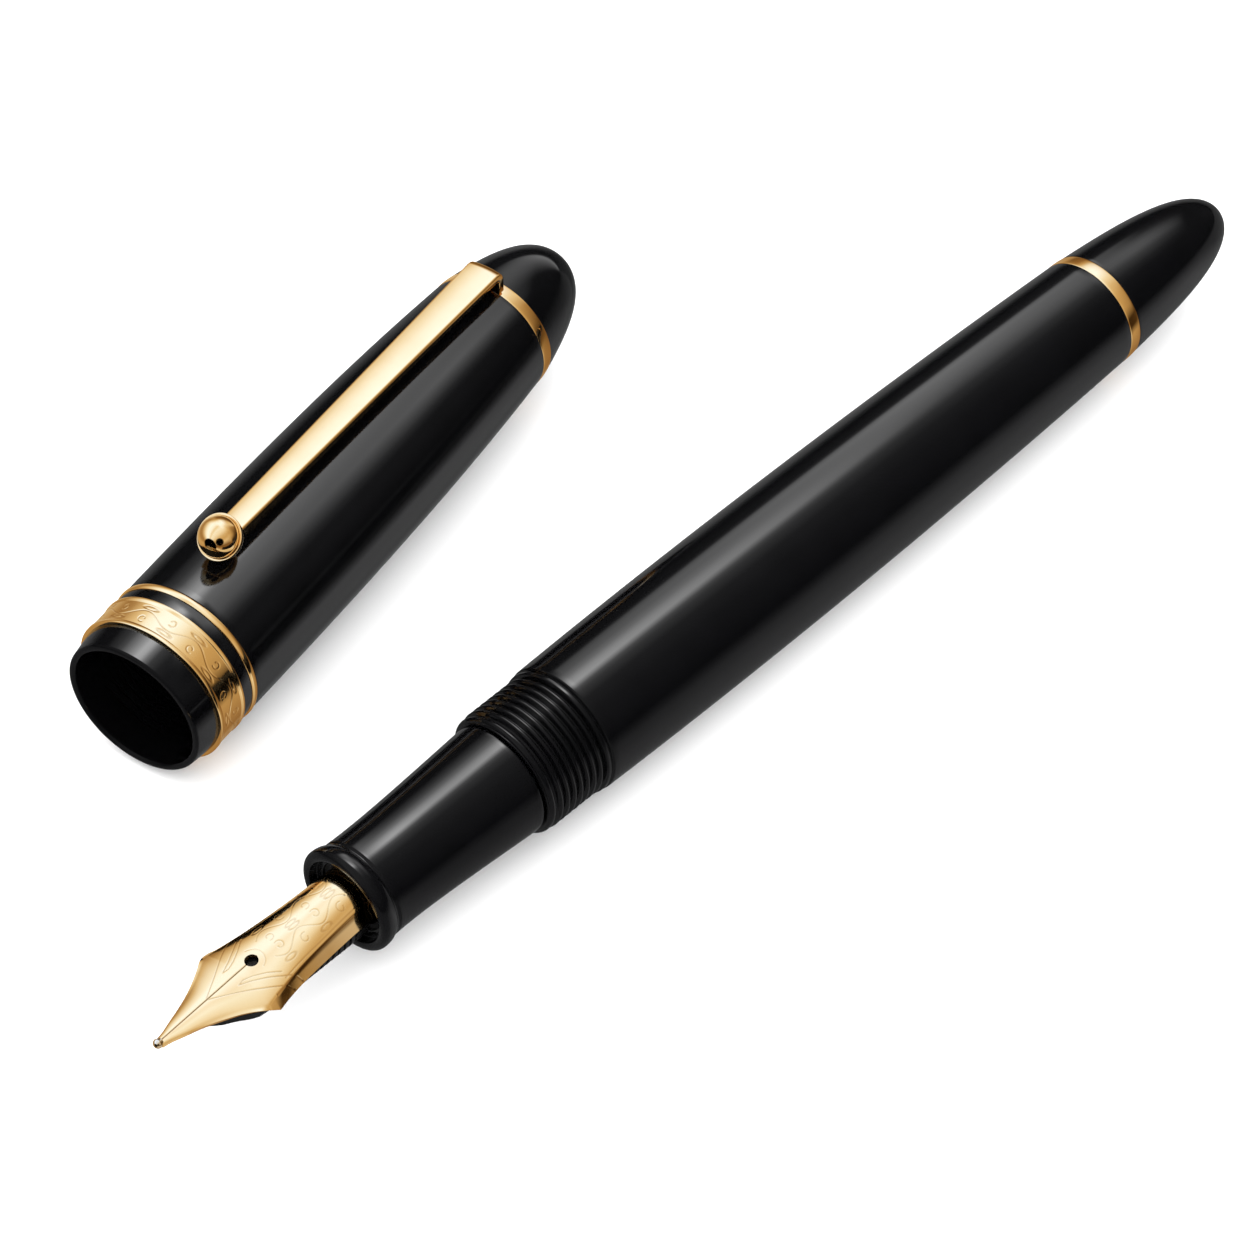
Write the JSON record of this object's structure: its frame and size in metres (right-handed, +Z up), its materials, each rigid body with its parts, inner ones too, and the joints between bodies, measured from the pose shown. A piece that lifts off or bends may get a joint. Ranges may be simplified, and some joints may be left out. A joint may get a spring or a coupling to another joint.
{
  "type": "fountain pen",
  "caption": "Cigar-shaped black and gold fountain pen with an arched open nib, screw converter and a screw cap with a ball clip, cap off and lying beside the pen.",
  "frame": {"origin": "on the surface that the pen and cap lie on, under the middle of the box round both", "axes": "+X along the pen from nib to tail, +Y towards the cap, +Z up"},
  "size_m": [0.1342, 0.0494, 0.019],
  "materials": {
    "black_resin": "deep black, polished to a high gloss",
    "gold_plate": "polished yellow gold plating",
    "nib_gold": "polished 14-carat yellow gold with fine engraved lines",
    "nib_point": "polished hard point material",
    "feed_black": "satin black ebonite-like plastic",
    "inner_plastic": "plain black moulded plastic",
    "clear_plastic": "clear moulded plastic",
    "steel": "turned steel",
    "seal_rubber": "soft dark rubber",
    "rod_plastic": "grey moulded plastic"
  },
  "bodies": {
    "barrel": {"barrel": "black_resin", "tail_ring": "gold_plate", "tail_cone": "black_resin"},
    "section": {"grip_section": "black_resin", "tenon_sleeve": "steel", "nib": "nib_gold", "nib_tip": "nib_point", "feed": "feed_black", "nib_housing": "inner_plastic", "ink_post": "inner_plastic"},
    "converter": {"converter_mouth": "inner_plastic", "converter_tube": "clear_plastic", "converter_collar": "gold_plate"},
    "piston": {"piston_seal": "seal_rubber", "piston_rod": "rod_plastic"},
    "knob": {"drive_nut": "steel", "converter_knob": "black_resin"},
    "cap": {"cap_tube": "black_resin", "cap_band": "gold_plate", "cap_thin_ring": "gold_plate", "inner_cap": "inner_plastic", "crown_ring": "gold_plate", "crown": "black_resin", "crown_screw": "steel"},
    "clip": {"clip_bar": "gold_plate", "clip_cup": "gold_plate", "clip_ball": "gold_plate"}
  },
  "joints": [
    {"name": "section_pull", "type": "slide", "parent": "barrel", "child": "section", "axis": [-1, 0, 0], "range_m": [0, 0.065]},
    {"name": "converter_pull", "type": "slide", "parent": "section", "child": "converter", "axis": [1, 0, 0], "range_m": [0, 0.008]},
    {"name": "knob_turn", "type": "hinge", "parent": "converter", "child": "knob", "pos_m": [0.01435, -0.01826, 0.0064], "axis": [1, 0, 0], "range_deg": [0, 2561]},
    {"name": "piston_slide", "type": "slide", "parent": "converter", "child": "piston", "axis": [1, 0, 0], "range_m": [0, 0.016]},
    {"name": "cap_pull", "type": "slide", "parent": "barrel", "child": "cap", "axis": [0.9848, 0.1736, 0], "range_m": [0, 0.05]},
    {"name": "clip_flex", "type": "hinge", "parent": "cap", "child": "clip", "pos_m": [0.00924, 0.0185, 0.01388], "axis": [-0.1736, 0.9848, 0], "range_deg": [0, 3], "stiffness_Nm_per_rad": 0.8}
  ],
  "couplings": [
    {"joint": "knob_turn", "follows": "piston_slide", "rad_per_m": 2792.5}
  ]
}
